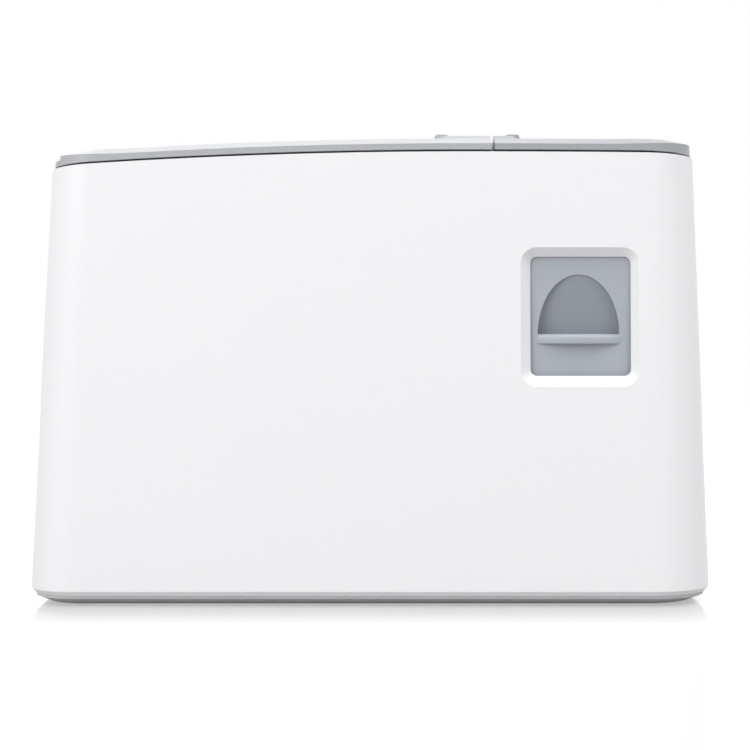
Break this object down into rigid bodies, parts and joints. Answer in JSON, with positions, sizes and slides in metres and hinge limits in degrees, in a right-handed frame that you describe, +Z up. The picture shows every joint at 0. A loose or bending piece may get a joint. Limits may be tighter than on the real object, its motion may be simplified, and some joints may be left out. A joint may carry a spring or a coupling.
{
  "type": "thermal label printer",
  "caption": "Desktop thermal printer for wide labels: tapered white case, hinged grey roll cover over the label roll, side release levers and a slot on top where labels leave.",
  "frame": {"origin": "on the standing surface, under the middle of the case", "axes": "+Z up, -Y the front with the buttons, +Y the rear with the hinge and the sockets, X across the width"},
  "size_m": [0.17, 0.22, 0.1481],
  "materials": {
    "case_white": "fine matt grain",
    "cover_grey": "satin",
    "front_grey": "satin",
    "base_grey": "matt",
    "lever_grey": "satin",
    "dark_plastic": "matt",
    "button_grey": "satin",
    "rubber_black": "matt",
    "steel": "zinc plated",
    "motor_black": "matt",
    "brass": "satin",
    "nylon": "satin",
    "board_green": "solder mask",
    "light_lens": "translucent",
    "paper_white": "matt",
    "ceramic_head": "glazed",
    "aluminium": "extruded",
    "cable_white": "satin"
  },
  "bodies": {
    "chassis": {"outer_case": "case_white", "front_cover": "front_grey", "base_tray": "base_grey", "inner_frame": "dark_plastic", "label_guide": "dark_plastic", "label_sensor": "dark_plastic", "lever_guides": "dark_plastic", "mains_inlet": "dark_plastic", "rubber_feet": "rubber_black", "power_leads": "rubber_black", "case_screws": "steel", "tear_bar": "steel", "board_screws": "steel", "side_plate_left": "steel", "side_plate_right": "steel", "frame_screws": "steel", "cross_plate": "steel", "hinge_pins": "steel", "idler_post": "steel", "motor_screws": "steel", "head_pivot": "steel", "lever_spring_left": "steel", "lever_spring_right": "steel", "latch_posts": "steel", "power_supply": "steel", "inlet_pins": "steel", "usb_port": "steel", "network_port": "steel", "feed_motor": "motor_black", "standoffs": "brass", "control_board": "board_green", "main_board": "board_green", "status_lights": "light_lens", "head_cable": "cable_white"},
    "cover": {"roll_cover": "cover_grey", "cover_liner": "dark_plastic", "liner_screws": "steel", "platen_bushes": "nylon"},
    "platen": {"platen_shaft": "steel", "platen_roller": "rubber_black", "platen_gear": "nylon"},
    "idler": {"idler_gear": "nylon"},
    "motor_rotor": {"motor_pinion": "brass"},
    "head": {"print_head": "ceramic_head", "head_bracket": "aluminium", "head_springs": "steel"},
    "roll": {"label_roll": "paper_white", "spool_core": "dark_plastic", "spool_flange_left": "dark_plastic", "spool_flange_right": "dark_plastic"},
    "lever_left": {"lever_left": "lever_grey"},
    "lever_right": {"lever_right": "lever_grey"},
    "latch_left": {"latch_left": "brass"},
    "latch_right": {"latch_right": "brass"},
    "power_key": {"power_button": "button_grey"},
    "feed_key": {"feed_button": "button_grey"}
  },
  "joints": [
    {"name": "cover_hinge", "type": "hinge", "parent": "chassis", "child": "cover", "pos_m": [0, 0.09839, 0.13889], "axis": [-1, 0, 0], "range_deg": [0, 80]},
    {"name": "platen_spin", "type": "hinge", "parent": "cover", "child": "platen", "pos_m": [0, -0.0305, 0.13], "axis": [1, 0, 0], "continuous": true},
    {"name": "idler_spin", "type": "hinge", "parent": "chassis", "child": "idler", "pos_m": [0, -0.02923, 0.11149], "axis": [1, 0, 0], "continuous": true},
    {"name": "motor_spin", "type": "hinge", "parent": "chassis", "child": "motor_rotor", "pos_m": [0, -0.03173, 0.09473], "axis": [1, 0, 0], "continuous": true},
    {"name": "head_rock", "type": "hinge", "parent": "chassis", "child": "head", "pos_m": [0, -0.0446, 0.108], "axis": [1, 0, 0], "range_deg": [0, 1.5], "stiffness_Nm_per_rad": 1, "springref_deg": -1.72},
    {"name": "roll_spin", "type": "hinge", "parent": "chassis", "child": "roll", "pos_m": [0, 0.032, 0.081], "axis": [1, 0, 0], "continuous": true},
    {"name": "lever_left_lift", "type": "slide", "parent": "chassis", "child": "lever_left", "axis": [0, 0, 1], "range_m": [0, 0.005], "stiffness_N_per_m": 200, "springref_m": -0.004, "deforming": ["lever_spring_left"]},
    {"name": "latch_left_turn", "type": "hinge", "parent": "chassis", "child": "latch_left", "pos_m": [0, -0.0661, 0.1023], "axis": [1, 0, 0], "range_deg": [0, 18]},
    {"name": "lever_right_lift", "type": "slide", "parent": "chassis", "child": "lever_right", "axis": [0, 0, 1], "range_m": [0, 0.005], "stiffness_N_per_m": 200, "springref_m": -0.004, "deforming": ["lever_spring_right"]},
    {"name": "latch_right_turn", "type": "hinge", "parent": "chassis", "child": "latch_right", "pos_m": [0, -0.0661, 0.1023], "axis": [1, 0, 0], "range_deg": [0, 18]},
    {"name": "power_press", "type": "slide", "parent": "chassis", "child": "power_key", "axis": [0, 0, -1], "range_m": [0, 0.0008], "stiffness_N_per_m": 400, "springref_m": -0.0005},
    {"name": "feed_press", "type": "slide", "parent": "chassis", "child": "feed_key", "axis": [0, 0, -1], "range_m": [0, 0.0008], "stiffness_N_per_m": 400, "springref_m": -0.0005}
  ],
  "couplings": [
    {"joint": "idler_spin", "follows": "platen_spin", "ratio": -0.53333},
    {"joint": "motor_spin", "follows": "platen_spin", "ratio": 1.3333},
    {"joint": "latch_left_turn", "follows": "lever_left_lift", "rad_per_m": 62.5},
    {"joint": "latch_right_turn", "follows": "lever_right_lift", "rad_per_m": 62.5}
  ]
}
